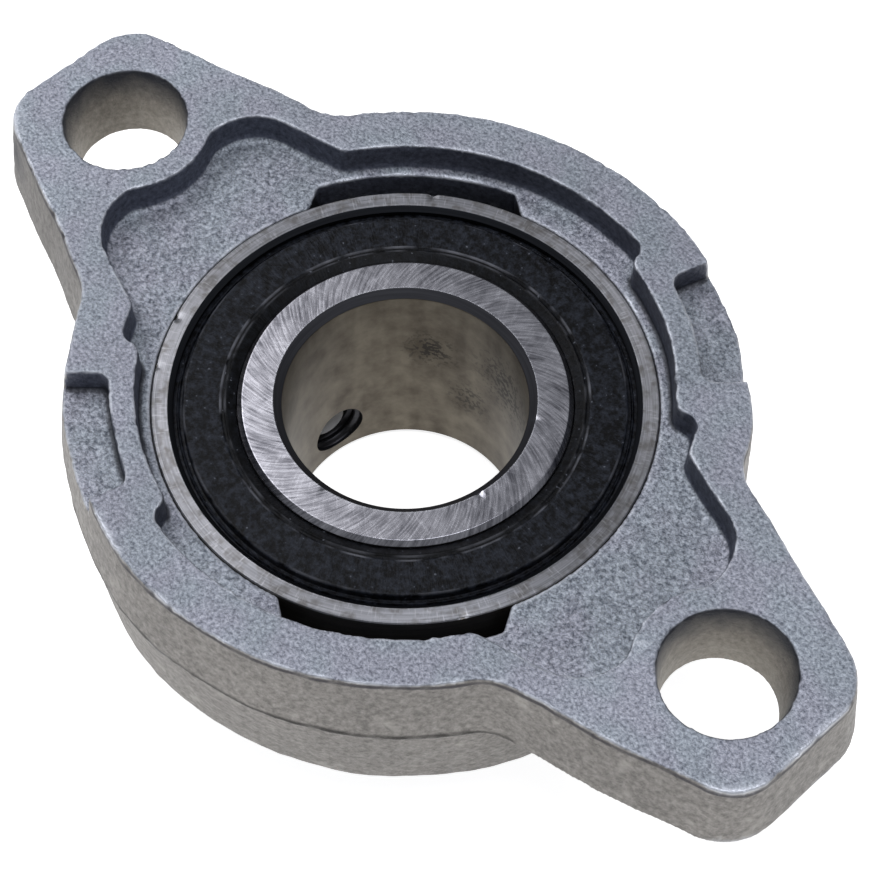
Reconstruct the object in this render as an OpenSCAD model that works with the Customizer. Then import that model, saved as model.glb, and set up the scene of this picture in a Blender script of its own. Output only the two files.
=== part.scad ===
// Two-bolt flange bearing unit: a self-aligning ball bearing with an extended,
// set-screwed inner ring, held in the spherical seat of a die-cast housing.
// The mounting face is the plane z = 0 and faces +Z. The shaft axis is Z, the
// bolt holes lie along X, and the collar reaches down to negative z.
// All sizes are in millimetres and all angles in degrees.

/* [Housing] */
// Wall round the widest part of the seat, at the parting line
seat_wall = 4.97; // [4:0.01:7]
// Thickness of the flange, from the mounting face to the parting line
flange_t = 5.5; // [5:0.25:7]
// Height of the housing, from the mounting face to its nose
housing_h = 13; // [12:0.5:16]
// Depth of the middle of the bearing below the mounting face
bearing_depth = 6.7; // [6.2:0.1:8]
// Slope of the flange's side walls
flange_draft = 7.5; // [0.5:0.5:9]
// Slope of the wall between the parting line and the nose
boss_draft = 4; // [0.5:0.5:6]
// Ledge between the flange wall and the boss wall at the parting line
parting_step = 0.2; // [0.05:0.05:0.5]
// Rounding of the nose's outer edge
nose_round = 1.2; // [0.4:0.1:2]
// Chamfer round the opening in the nose
nose_chamfer = 0.6; // [0.2:0.1:1]

/* [Lugs] */
// Room for a bolt's head, from the body to the middle of its hole
bolt_room = 5.5; // [5:0.25:9]
// Diameter of the bolt holes at the front of the flange, their narrowest place
bolt_hole_d = 7; // [5:0.1:8]
// Distance from the middle of a bolt hole to the end of its lug, at the parting line
lug_end = 6.8; // [6:0.1:9]
// Length of the straight end of a lug, between its rounded corners
lug_end_w = 5.4; // [3:0.2:8]
// Radius of a lug's corners, at the parting line
lug_corner_r = 4; // [3:0.1:5]
// Angle between a lug's side and the long axis
lug_taper = 17.6; // [14:0.2:20]
// Radius of the hollow corner between lug and body, at the parting line
waist_r = 3; // [1.5:0.1:5]
// Length of the straight throat of a bolt hole, before it widens
bolt_throat = 2; // [1:0.25:4]
// Slope of the wide part of a bolt hole
bolt_draft = 7.5; // [1:0.5:9]

/* [Recess in the mounting face] */
// Width of the rim round the bearing
rim_w = 2.9; // [2.4:0.1:4]
// Width of the rim along the sides of the lugs
lug_rim_w = 1.95; // [1.2:0.05:3]
// How far the thick parts of the rim stay outside the widest part of the seat
thick_rim_clear = 0.1; // [0.05:0.05:0.6]
// Angle that each thick part of the rim covers
thick_rim_angle = 41; // [34:1:50]
// Distance from the middle of a bolt hole back to the flat end of the recess
recess_stop = 4.5; // [3:0.1:6]
// Diameter of the solid land round a bolt hole
bolt_land_d = 11.1; // [9.5:0.1:13]
// Rounding of the recess's corners
recess_round = 0.9; // [0.3:0.1:1.2]
// Radius of the recess's corners at the ends of the lugs
recess_end_r = 3.6; // [1:0.1:4]
// Direction of the middle of each thick part and pad, from the long axis
pad_direction = 59; // [55:0.5:65]
// Angle that each relief pad covers
pad_angle = 25; // [20:0.5:32]
// Depth of a relief pad below the mounting face
pad_depth = 1.8; // [0.8:0.1:2.5]
// Width of the rim left standing inside a relief pad
pad_rim_w = 1.5; // [1:0.1:2.2]
// Rounding of a relief pad's corners
pad_round = 0.8; // [0.3:0.1:1.5]

/* [Loading slots] */
// Direction of the slots, from the long axis
slot_direction = 135; // [125:1:145]
// Room on each side of the bearing as it goes in edge on
slot_room = 1.65; // [0.5:0.05:3]
// Slope of a slot's ends, which lean together outwards
slot_lean = 15; // [0:1:20]
// Depth of a slot outside the widest part of the seat
slot_extra = 0.75; // [0.4:0.05:1]

/* [Bearing rings] */
// Shaft bore
bore_d = 15; // [12:0.5:16]
// Length of the inner ring with its collar
inner_ring_l = 16.5; // [15.5:0.5:20]
// Chamfer of the bore at the mounting side
bore_chamfer = 0.5; // [0.2:0.1:0.8]
// Chamfers at the end of the collar
collar_chamfer = 0.4; // [0.2:0.1:0.8]
// Outer diameter of the inner ring
inner_ring_d = 20.4; // [20:0.1:20.8]
// Diameter of the spherical outer ring
outer_ring_d = 32; // [31:0.25:33.5]
// Width of the outer ring
outer_ring_w = 9; // [8.6:0.1:10]
// Inner diameter of the outer ring beside the raceway
outer_shoulder_d = 26.5; // [26:0.1:27]
// Opening in the faces of the outer ring
outer_mouth_d = 28.1; // [28:0.05:28.2]
// Chamfers on the faces of the two rings, outside and inside the seals
ring_chamfer = 0.3; // [0.1:0.05:0.4]
// Chamfer where the sphere meets the outer ring's faces
sphere_chamfer = 0.15; // [0.05:0.05:0.3]
// Radius of a raceway's groove, as a share of the ball's diameter
race_fit = 0.52; // [0.51:0.005:0.54]

/* [Balls and cage] */
// Ball diameter
ball_d = 4.762; // [4.5:0.001:4.9]
// Number of balls
ball_count = 9; // [6:1:9]
// Diameter of the circle through the ball centres
pitch_d = 23.5; // [23.3:0.05:23.7]
// Thickness of the cage's sheet steel
cage_t = 0.4; // [0.3:0.05:0.5]
// Width of the cage's sheet steel
cage_w = 2.2; // [1.8:0.1:2.4]
// Diameter of a rivet's shank
rivet_d = 0.9; // [0.6:0.1:1.1]
// Diameter of a rivet's heads
rivet_head_d = 1.5; // [1.2:0.1:1.8]
// Thickness of a rivet's heads
rivet_head_t = 0.3; // [0.2:0.05:0.4]

/* [Seals] */
// Thickness of a seal
seal_t = 1.05; // [0.9:0.05:1.2]
// Depth of the seal's outer face below the ring's face
seal_inset = 0.1; // [0:0.05:0.3]
// Diameter of the raised face of a seal
seal_raised_d = 27; // [26:0.1:27.2]
// Depth of the gutter round the raised face
gutter_depth = 0.6; // [0.4:0.05:0.7]
// Width and height of the fine ridge in the gutter
ridge = 0.2; // [0.1:0.05:0.3]
// Chamfer on the outer edge of the raised face
seal_chamfer = 0.1; // [0.05:0.05:0.2]
// Width of the slope from the raised face to the lip
lip_w = 0.65; // [0.4:0.05:0.9]
// How far the lip lies below the raised face
lip_drop = 0.3; // [0.1:0.05:0.4]
// Height of the lip's running edge
lip_t = 0.2; // [0.1:0.05:0.3]
// Diameter of the seal groove in the outer ring
seal_groove_d = 28.9; // [28.7:0.05:29.2]
// Height of the seal groove
seal_groove_h = 0.6; // [0.5:0.05:0.7]
// Thickness of the steel core
core_t = 0.3; // [0.2:0.05:0.4]
// Rubber between the lip and the inner edge of the core
core_margin = 0.75; // [0.5:0.05:1]
// Width of the core's edge that rests on the outer ring
core_rest = 0.4; // [0.2:0.05:0.5]

/* [Set screws] */
// Diameter of the set screws, taken at the middle of the thread
screw_d = 3.5; // [2.5:0.1:4]
// Length of a set screw
screw_l = 4; // [3:0.25:5]
// Distance from a screw's axis to the end of the collar
screw_inset = 3; // [2.5:0.1:4]
// Direction of the first screw, from the long axis
screw_direction = 175.7; // [0:0.1:360]
// Angle between the two screws
screw_spread = 120; // [60:5:180]
// How far a loose screw's tip stands back from the bore
screw_back = 0.8; // [0.2:0.1:1.2]
// Chamfer on the outer end of a screw
screw_chamfer = 0.3; // [0.2:0.05:0.5]
// Width of the taper behind the cup point
point_taper = 0.6; // [0.3:0.05:0.8]
// Diameter of the cup in the point
cup_d = 2; // [1:0.1:2.2]
// Hexagon socket, across the flats
hex_af = 2; // [1.3:0.1:2.2]
// Depth of the hexagon socket
socket_depth = 1.8; // [1:0.1:2]

/* [Fits] */
// Gap between the outer ring and its seat
seat_clear = 0.03; // [0.02:0.01:0.08]
// Gap between a ball and each raceway
race_clear = 0.03; // [0.02:0.01:0.08]
// Gap between a ball and its pocket
pocket_clear = 0.08; // [0.05:0.01:0.15]
// Gap between a seal's lip and the inner ring
lip_clear = 0.05; // [0.03:0.01:0.1]
// Gap round what is pressed or moulded in place
held_clear = 0.02; // [0.01:0.01:0.03]
// Gap round a set screw
screw_clear = 0.03; // [0.02:0.01:0.08]

/* [Hidden] */
BALLS = [for (i = [1:ball_count]) str("ball_", i)];
$fn = 96;

// Room that a cut takes past a surface
past = 1;
// Facets of the rounded pieces inside a hull, and of the small rounded corners
hull_fn = 32;
// Facets of the wide arcs in the outlines of the recess and the relief pads
arc_fn = 120;
// How far the waist fillets run on into the walls they blend
blend = 0.01;
// How far the block that carries a waist fillet reaches into its lug
fillet_root = 3;

seat_r = outer_ring_d / 2 + seat_clear;
slot_r = seat_r + slot_extra;
slot_w = outer_ring_w + 2 * slot_room;

body_r = seat_r + seat_wall;
flange_in = flange_t * tan(flange_draft);
rim_r = body_r - flange_in;
recess_r = rim_r - rim_w;
thick_r = seat_r + thick_rim_clear;
recess_depth = bearing_depth - outer_ring_w / 2;

bolt_x = body_r + bolt_room;
recess_end = bolt_x - recess_stop;
corner_x = bolt_x + lug_end - lug_corner_r;
corner_y = lug_end_w / 2;
spine_y = corner_y + corner_x * tan(lug_taper);
side_normal = [sin(lug_taper), cos(lug_taper)];
side_along = [cos(lug_taper), -sin(lug_taper)];
side_d = lug_corner_r + side_normal * [corner_x, corner_y];

pitch_r = pitch_d / 2;
ball_r = ball_d / 2;
race_r = race_fit * ball_d;
half_w = outer_ring_w / 2;
collar_end = half_w - inner_ring_l;

shoulder_r = outer_shoulder_d / 2;
mouth_r = outer_mouth_d / 2;
groove_r = seal_groove_d / 2;
seal_face = half_w - seal_inset;
seal_seat = seal_face - seal_t;
lip_r = inner_ring_d / 2 + lip_clear;
core_in = lip_r + core_margin;
core_out = shoulder_r + core_rest;

// Points along an arc, for a profile
function arc(centre, r, from, to, n = 8) =
    [for (i = [0:n]) let (a = from + (to - from) * i / n) centre + r * [cos(a), sin(a)]];

// The same piece at both ends of the long axis, turned half a turn
module both_ends() {
    children();
    rotate(180) children();
}

module at_bearing() {
    translate([0, 0, -bearing_depth]) children();
}

// A ring swept round the shaft axis from an outline of [radius, height]
module turned(outline) {
    rotate_extrude() polygon(outline);
}

// Disc as thick as the flange whose edge slopes in towards the mounting face
module drafted_disc(r) {
    translate([0, 0, -flange_t]) cylinder(h = flange_t, r1 = r, r2 = r - flange_in);
}

// Both lugs as one tapering bar through the body
module lug_bar() {
    hull()
        for (x = [-1, 1], y = [-1, 1]) {
            translate([x * corner_x, y * corner_y, 0]) drafted_disc(lug_corner_r, $fn = hull_fn);
            translate([0, y * spine_y, 0]) drafted_disc(lug_corner_r, $fn = hull_fn);
        }
}

// Hollow fillet where the side of a lug meets the round body
module waist_fillet() {
    from_side = side_d + waist_r;
    from_axis = body_r + waist_r;
    centre = from_side * side_normal + sqrt(from_axis ^ 2 - from_side ^ 2) * side_along;
    inside = centre - (waist_r + flange_in + fillet_root) * side_normal;
    slope = tan(flange_draft);
    difference() {
        translate([0, 0, -flange_t])
            linear_extrude(flange_t) polygon([[0, 0], centre, inside]);
        translate([centre.x, centre.y, -flange_t - past])
            cylinder(
                h = flange_t + 2 * past,
                r1 = waist_r + blend - past * slope,
                r2 = waist_r + blend + flange_in + past * slope
            );
    }
}

module flange() {
    drafted_disc(body_r);
    lug_bar();
    for (side = [0, 1]) mirror([0, side, 0]) both_ends() waist_fillet();
}

// Round wall from the parting line to the rounded nose
module boss() {
    top_r = body_r - parting_step;
    slope = tan(boss_draft);
    nose_r = top_r - (housing_h - flange_t) * slope;
    turned(concat(
        [[0, -housing_h]],
        arc([nose_r - nose_round, -housing_h + nose_round], nose_round, -90, -boss_draft),
        [
            [top_r, -flange_t],
            [top_r - past, -flange_t],
            [top_r - past, -flange_t + past],
            [0, -flange_t + past]
        ]
    ));
}

// Angular slice of the plane, from the axis outwards, about a direction
module sector(direction, angle, r) {
    polygon(concat([[0, 0]], arc([0, 0], r, direction - angle / 2, direction + angle / 2)));
}

// Outline of a lug at the mounting face, drawn in by the width of its rim
module lug_inside() {
    inset = side_d - flange_in - lug_rim_w;
    round_x = recess_end - recess_end_r;
    round_y = (inset - recess_end_r - round_x * sin(lug_taper)) / cos(lug_taper);
    for (side = [0, 1])
        mirror([0, side, 0])
            polygon(concat(
                [[0, 0], [recess_end, 0]],
                arc([round_x, round_y], recess_end_r, 0, 90 - lug_taper),
                [[0, inset / cos(lug_taper)]]
            ));
}

module recess_outline() {
    offset(r = recess_round, $fn = hull_fn) offset(delta = -recess_round)
        offset(r = -recess_round, $fn = hull_fn) offset(delta = recess_round)
            difference() {
                union() {
                    circle(recess_r, $fn = arc_fn);
                    both_ends() lug_inside();
                }
                both_ends() {
                    translate([bolt_x, 0]) circle(d = bolt_land_d);
                    difference() {
                        sector(pad_direction, thick_rim_angle, body_r + past);
                        circle(thick_r, $fn = arc_fn);
                    }
                }
            }
}

// Shallow step outside the thick part of the rim
module relief_pad() {
    translate([0, 0, -pad_depth])
        linear_extrude(pad_depth + past)
            offset(r = pad_round, $fn = hull_fn) offset(delta = -pad_round)
                difference() {
                    sector(pad_direction, pad_angle, body_r + 2 * past);
                    circle(thick_r + pad_rim_w, $fn = arc_fn);
                }
}

// Straight slot down to the middle of the seat, through which the bearing is
// put in edge on and then turned square
module loading_slot() {
    lean = tan(slot_lean);
    rotate(slot_direction)
        translate([0, 0, -bearing_depth])
            linear_extrude(bearing_depth)
                intersection() {
                    circle(slot_r);
                    polygon([
                        [seat_r / 2, slot_w / 2 + seat_r / 2 * lean],
                        [seat_r / 2, -slot_w / 2 - seat_r / 2 * lean],
                        [seat_r + past, -slot_w / 2 + past * lean],
                        [seat_r + past, slot_w / 2 - past * lean]
                    ]);
                }
}

// Straight throat where the bolt is centred, widening to the mounting face
module bolt_hole() {
    r = bolt_hole_d / 2;
    widening = flange_t - bolt_throat + past;
    translate([bolt_x, 0, -flange_t]) {
        translate([0, 0, -past]) cylinder(h = bolt_throat + 2 * past, r = r);
        translate([0, 0, bolt_throat])
            cylinder(h = widening, r1 = r, r2 = r + widening * tan(bolt_draft));
    }
}

module housing() {
    nose_open_r = sqrt(seat_r ^ 2 - (housing_h - bearing_depth) ^ 2);
    color("#9a9fa6")
        difference() {
            union() {
                flange();
                boss();
            }
            at_bearing() sphere(seat_r);
            translate([0, 0, -recess_depth])
                linear_extrude(recess_depth + past) recess_outline();
            both_ends() {
                loading_slot();
                relief_pad();
                bolt_hole();
            }
            translate([0, 0, -housing_h - past])
                cylinder(
                    h = nose_chamfer + past,
                    r1 = nose_open_r + nose_chamfer + past,
                    r2 = nose_open_r
                );
        }
}

// Groove that the balls run in, its middle at the given radius
module raceway(middle_r) {
    rotate_extrude() translate([middle_r, 0]) circle(race_r);
}

module outer_ring() {
    face_r = sqrt((outer_ring_d / 2) ^ 2 - half_w ^ 2) - sphere_chamfer;
    reach = outer_ring_d / 2 + past;
    half_ring = [
        [shoulder_r, 0],
        [shoulder_r, seal_seat],
        [groove_r, seal_seat],
        [groove_r, seal_seat + seal_groove_h],
        [mouth_r, seal_seat + seal_groove_h],
        [mouth_r, half_w - ring_chamfer],
        [mouth_r + ring_chamfer, half_w],
        [face_r, half_w],
        [reach, half_w - (reach - face_r)],
        [reach, 0]
    ];
    color("#c9c8c4")
        at_bearing()
            difference() {
                intersection() {
                    sphere(outer_ring_d / 2);
                    for (way = [0, 1]) mirror([0, 0, way]) turned(half_ring);
                }
                raceway(pitch_r + ball_r + race_clear - race_r);
            }
}

// Turns and moves children onto the axis of set screw number i
module at_screw(i) {
    translate([0, 0, collar_end + screw_inset])
        rotate([0, 0, screw_direction + (i - 1) * screw_spread])
            rotate([0, 90, 0]) children();
}

module inner_ring() {
    r = inner_ring_d / 2;
    bore_r = bore_d / 2;
    color("#c4c3bf")
        at_bearing()
            difference() {
                turned([
                    [bore_r, collar_end + collar_chamfer],
                    [bore_r + collar_chamfer, collar_end],
                    [r - collar_chamfer, collar_end],
                    [r, collar_end + collar_chamfer],
                    [r, half_w - ring_chamfer],
                    [r - ring_chamfer, half_w],
                    [bore_r + bore_chamfer, half_w],
                    [bore_r, half_w - bore_chamfer]
                ]);
                raceway(pitch_r - ball_r - race_clear + race_r);
                for (i = [1, 2])
                    at_screw(i) cylinder(h = r + past, r = screw_d / 2 + screw_clear);
            }
}

module ball(i) {
    color("#d8dadc")
        at_bearing() rotate(i * 360 / ball_count) translate([pitch_r, 0, 0]) sphere(ball_r);
}

// Places children midway between two neighbouring balls
module between_balls() {
    for (i = [1:ball_count])
        rotate((i + 0.5) * 360 / ball_count) translate([pitch_r, 0, 0]) children();
}

// One half of the cage: a flat ribbon, bulged out round every ball
module cage_half() {
    color("#8f9296")
        difference() {
            intersection() {
                turned([
                    [pitch_r - cage_w / 2, 0],
                    [pitch_r + cage_w / 2, 0],
                    [pitch_r + cage_w / 2, half_w],
                    [pitch_r - cage_w / 2, half_w]
                ]);
                union() {
                    cylinder(h = cage_t, r = pitch_r + cage_w);
                    for (i = [1:ball_count])
                        rotate(i * 360 / ball_count)
                            translate([pitch_r, 0, 0])
                                sphere(ball_r + pocket_clear + cage_t);
                }
            }
            for (i = [1:ball_count])
                rotate(i * 360 / ball_count)
                    translate([pitch_r, 0, 0]) sphere(ball_r + pocket_clear);
            between_balls()
                translate([0, 0, -past])
                    cylinder(h = cage_t + 2 * past, d = rivet_d + 2 * held_clear);
        }
}

module cage_back() {
    at_bearing() cage_half();
}

module cage_front() {
    at_bearing() mirror([0, 0, 1]) cage_half();
}

module cage_rivets() {
    color("#7d8084")
        at_bearing() between_balls() {
            cylinder(h = 2 * cage_t + rivet_head_t, d = rivet_d, center = true);
            for (way = [-1, 1])
                translate([0, 0, way * (cage_t + rivet_head_t / 2)])
                    cylinder(h = rivet_head_t, d = rivet_head_d, center = true);
        }
}

// Rubber of one seal: the edge held in the ring's groove, the gutter with its
// fine ridge, the raised face, and the lip on the inner ring. The steel core
// lies in its underside.
module seal_rubber() {
    gutter = seal_face - gutter_depth;
    raised_r = seal_raised_d / 2;
    edge_r = groove_r - held_clear;
    ridge_r = (mouth_r + raised_r) / 2;
    lip_bottom = seal_face - lip_drop - lip_t;
    color("#1c1d20")
        difference() {
            turned([
                [lip_r + lip_bottom - seal_seat, seal_seat],
                [edge_r, seal_seat],
                [edge_r, gutter],
                [ridge_r + ridge / 2, gutter],
                [ridge_r, gutter + ridge],
                [ridge_r - ridge / 2, gutter],
                [raised_r, gutter],
                [raised_r, seal_face - seal_chamfer],
                [raised_r - seal_chamfer, seal_face],
                [lip_r + lip_w, seal_face],
                [lip_r, seal_face - lip_drop],
                [lip_r, lip_bottom]
            ]);
            turned([
                [core_in - held_clear, seal_seat - past],
                [core_out + held_clear, seal_seat - past],
                [core_out + held_clear, seal_seat + core_t + held_clear],
                [core_in - held_clear, seal_seat + core_t + held_clear]
            ]);
        }
}

// Steel washer that stiffens a seal from the inside
module seal_core() {
    color("#a7a9ab")
        difference() {
            translate([0, 0, seal_seat]) cylinder(h = core_t, r = core_out);
            translate([0, 0, seal_seat - past]) cylinder(h = core_t + 2 * past, r = core_in);
        }
}

module seal_back() {
    at_bearing() seal_rubber();
}

module seal_front() {
    at_bearing() mirror([0, 0, 1]) seal_rubber();
}

module seal_core_back() {
    at_bearing() seal_core();
}

module seal_core_front() {
    at_bearing() mirror([0, 0, 1]) seal_core();
}

// Grub screw with a cup point towards the bore and a hexagon socket outside
module set_screw(i) {
    r = screw_d / 2;
    cup_r = cup_d / 2;
    color("#26272b")
        at_bearing() at_screw(i) translate([0, 0, bore_d / 2 + screw_back])
            difference() {
                turned([
                    [0, 0],
                    [r - point_taper, 0],
                    [r, point_taper],
                    [r, screw_l - screw_chamfer],
                    [r - screw_chamfer, screw_l],
                    [0, screw_l]
                ]);
                translate([0, 0, -past])
                    cylinder(h = cup_r + past, r1 = cup_r + past, r2 = 0);
                translate([0, 0, screw_l - socket_depth])
                    cylinder(h = socket_depth + past, d = hex_af / cos(30), $fn = 6);
            }
}

housing();
outer_ring();
inner_ring();
for (i = [1:ball_count]) ball(i);
cage_back();
cage_front();
cage_rivets();
seal_back();
seal_core_back();
seal_front();
seal_core_front();
set_screw(1);  // set_screw_1
set_screw(2);  // set_screw_2
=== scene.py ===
import math
from functools import partial
import bpy
import numpy as np
from mathutils import Matrix, Vector


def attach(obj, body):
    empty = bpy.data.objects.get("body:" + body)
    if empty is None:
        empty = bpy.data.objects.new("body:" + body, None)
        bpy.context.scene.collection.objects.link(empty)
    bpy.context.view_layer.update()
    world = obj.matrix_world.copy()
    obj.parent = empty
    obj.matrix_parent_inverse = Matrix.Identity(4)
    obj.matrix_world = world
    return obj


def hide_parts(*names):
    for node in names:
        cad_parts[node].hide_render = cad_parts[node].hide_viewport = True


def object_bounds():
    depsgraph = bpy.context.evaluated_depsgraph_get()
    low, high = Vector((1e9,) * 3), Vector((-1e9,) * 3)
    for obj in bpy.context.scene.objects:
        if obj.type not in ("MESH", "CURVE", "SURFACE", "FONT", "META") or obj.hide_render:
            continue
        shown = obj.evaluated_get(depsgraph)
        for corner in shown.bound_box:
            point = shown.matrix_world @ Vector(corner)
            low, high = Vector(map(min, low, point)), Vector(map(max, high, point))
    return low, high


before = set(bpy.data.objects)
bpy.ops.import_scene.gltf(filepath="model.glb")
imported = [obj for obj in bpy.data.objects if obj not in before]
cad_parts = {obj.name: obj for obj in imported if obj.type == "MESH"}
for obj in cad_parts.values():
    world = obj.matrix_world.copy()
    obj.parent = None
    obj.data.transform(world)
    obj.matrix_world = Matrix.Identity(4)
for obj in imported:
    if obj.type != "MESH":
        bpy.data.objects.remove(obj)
cadLow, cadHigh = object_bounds()
mm = 0.001


def linear(hexColour):
    # sRGB hex to the linear values that Blender's colour sockets take
    value = int(hexColour.lstrip("#"), 16)
    parts = [(value >> shift & 255) / 255 for shift in (16, 8, 0)]
    return [c / 12.92 if c <= 0.04045 else ((c + 0.055) / 1.055) ** 2.4 for c in parts] + [1]


def feed(node, settings):
    # sets a node and its sockets; a socket takes a value, a socket, or a whole node's first output in use
    for key, value in settings.items():
        if isinstance(value, bpy.types.Node):
            value = next(socket for socket in value.outputs if socket.enabled)
        if isinstance(value, bpy.types.NodeSocket):
            node.id_data.links.new(value, node.inputs[key])
        elif isinstance(key, str) and hasattr(node, key):
            setattr(node, key, value)
        else:
            node.inputs[key].default_value = linear(value) if isinstance(value, str) else value


def addNode(tree, kind, settings={}):
    # one shader node with its settings and links
    node = tree.nodes.new("ShaderNode" + kind)
    feed(node, settings)
    return node


def emptyTree(owner):
    # the node tree of a material or world, switched on and cleared
    owner.use_nodes = True
    owner.node_tree.nodes.clear()
    return owner.node_tree


def startMaterial(name, **surface):
    # a material with only its surface shader, addNode for its tree, and places in millimetres on the piece
    material = bpy.data.materials.new(name)
    add = partial(addNode, emptyTree(material))
    settings = {key.replace("_", " "): value for key, value in surface.items()}
    shader = add("BsdfPrincipled", settings)
    add("OutputMaterial", {"Surface": shader})
    spot = add("TexCoord")
    place = add("Mapping", {"Scale": (1 / mm,) * 3, "Vector": spot.outputs["Object"]})
    return material, add, shader, place


def addPiece(name, mesh, materials, body, replaces=()):
    # puts a mesh in the scene and tells the frame what it is
    piece = bpy.data.objects.new(name, mesh)
    bpy.context.scene.collection.objects.link(piece)
    for material in materials[len(mesh.materials):]:
        mesh.materials.append(material)
    mesh.polygons.foreach_set("use_smooth", [True] * len(mesh.polygons))
    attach(piece, body)
    if replaces:
        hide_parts(*replaces)
    return piece


# The camera, fitted to the photo's bolt holes, bore and ring edges
photoView = {
    "azimuth": 46.67,  # degrees round the shaft axis
    "elevation": 58.71,
    "roll": 0.62,
    "distance": 141.6,  # mm
    "target": (4.18, -1.45, 0),  # mm
    "lens": 99.64,  # mm
    "sensor": 36,  # mm
    "clip": (0.005, 5),  # m
}


def placeCamera(view):
    azimuth, elevation, roll = (math.radians(view[k]) for k in ("azimuth", "elevation", "roll"))
    back = Vector((
        math.sin(azimuth) * math.cos(elevation),
        -math.cos(azimuth) * math.cos(elevation),
        math.sin(elevation),
    ))
    level = Vector((math.cos(azimuth), math.sin(azimuth), 0))
    upright = back.cross(level)
    right = level * math.cos(roll) + upright * math.sin(roll)
    up = upright * math.cos(roll) - level * math.sin(roll)
    camera = bpy.data.objects.new("camera", bpy.data.cameras.new("camera"))
    bpy.context.scene.collection.objects.link(camera)
    place = Vector(view["target"]) * mm + back * view["distance"] * mm
    camera.matrix_world = Matrix.Translation(place) @ Matrix((right, up, back)).transposed().to_4x4()
    camera.data.lens = view["lens"]
    camera.data.sensor_width = view["sensor"]
    camera.data.clip_start, camera.data.clip_end = view["clip"]
    bpy.context.scene.camera = camera


placeCamera(photoView)
print("camera placed")

# Studio: a soft lamp from the left, close to where the level faces mirror, a smaller overhead one, pale
# floor
studio = {
    "lamps": [
        # name, direction (azimuth, elevation), distance m, side m, watts, colour
        ("sideSoftbox", (272, 54), 0.45, 0.32, 0.84, "#fafaff"),
        ("overheadSoftbox", (90, 80), 0.45, 0.24, 0.74, "#f5f7ff"),
    ],
    "sky": 0.38,  # the even light from all round
    "skyColour": "#eef2fa",
    "floorColour": "#e3e1dd",
    "floorGlow": 0.84,  # only what the camera and the metal see of it
    "floorHalf": 2.0,  # m
    "floorGap": 0.02,  # mm under the object
}


def lightStudio():
    scene = bpy.context.scene
    scene.view_settings.view_transform = "Standard"
    for name, (azimuth, elevation), distance, side, watts, colour in studio["lamps"]:
        lamp = bpy.data.lights.new(name, "AREA")
        lamp.shape = "DISK"
        lamp.size = side
        lamp.energy = watts
        lamp.color = linear(colour)[:3]
        holder = bpy.data.objects.new(name, lamp)
        a, e = math.radians(azimuth), math.radians(elevation)
        towards = Vector((math.sin(a) * math.cos(e), -math.cos(a) * math.cos(e), math.sin(e)))
        holder.location = towards * distance
        holder.rotation_euler = towards.to_track_quat("Z", "Y").to_euler()
        scene.collection.objects.link(holder)
    world = bpy.data.worlds.new("studio")
    scene.world = world
    add = partial(addNode, emptyTree(world))
    path = add("LightPath")
    seen = add("Math", {"operation": "MAXIMUM", 0: path.outputs["Is Camera Ray"],
                        1: path.outputs["Is Transmission Ray"]})
    even = add("Background", {"Color": studio["skyColour"], "Strength": studio["sky"]})
    white = add("Background", {"Color": (1, 1, 1, 1), "Strength": 1})
    both = add("MixShader", {0: seen, 1: even, 2: white})
    add("OutputWorld", {"Surface": both})


def layFloor():
    # matt white card, which keeps the object's shadow
    half, level = studio["floorHalf"], cadLow.z - studio["floorGap"] * mm
    mesh = bpy.data.meshes.new("floor")
    corners = [(x * half, y * half, level) for x, y in ((-1, -1), (1, -1), (1, 1), (-1, 1))]
    mesh.from_pydata(corners, [], [(0, 1, 2, 3)])
    floor = bpy.data.objects.new("floor", mesh)
    bpy.context.scene.collection.objects.link(floor)
    material = bpy.data.materials.new("matt white card")
    add = partial(addNode, emptyTree(material))
    path = add("LightPath")
    seen = add("Math", {"operation": "MAXIMUM", 0: path.outputs["Is Camera Ray"],
                        1: path.outputs["Is Glossy Ray"]})
    glow = add("Math", {"operation": "MULTIPLY", 1: studio["floorGlow"], 0: seen})
    card = add("BsdfDiffuse", {"Color": studio["floorColour"]})
    light = add("Emission", {"Color": (1, 1, 1, 1), "Strength": glow})
    both = add("AddShader", {0: card, 1: light})
    add("OutputMaterial", {"Surface": both})
    mesh.materials.append(material)


lightStudio()
layFloor()
print("studio lit")


def waves(points, size, count, seed):
    # a smooth random field from sine waves of about one size (mm) in all directions
    rng = np.random.default_rng(seed)
    along = rng.normal(size=(count, 3))
    along /= np.linalg.norm(along, axis=1)[:, None]
    along *= (2 * math.pi / (size * rng.uniform(0.7, 1.4, count)))[:, None]
    return np.sin(points @ along.T + rng.uniform(0, 2 * math.pi, count)).sum(1) * math.sqrt(2 / count)


def readPoints(mesh, what="co"):
    values = np.empty(len(mesh.vertices) * 3)
    mesh.vertices.foreach_get(what, values)
    return values.reshape(-1, 3)


def bakeModifier(mesh, kind, **settings):
    # the mesh as a modifier leaves it
    holder = bpy.data.objects.new("holder", mesh)
    bpy.context.scene.collection.objects.link(holder)
    modifier = holder.modifiers.new(kind, kind)
    for key, value in settings.items():
        setattr(modifier, key, value)
    made = bpy.data.meshes.new_from_object(holder.evaluated_get(bpy.context.evaluated_depsgraph_get()))
    bpy.data.objects.remove(holder)
    return made


def within(values, low, high):
    # 0 below low, 1 above high, smooth between
    share = np.clip((values - low) / (high - low), 0, 1)
    return share * share * (3 - 2 * share)


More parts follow.
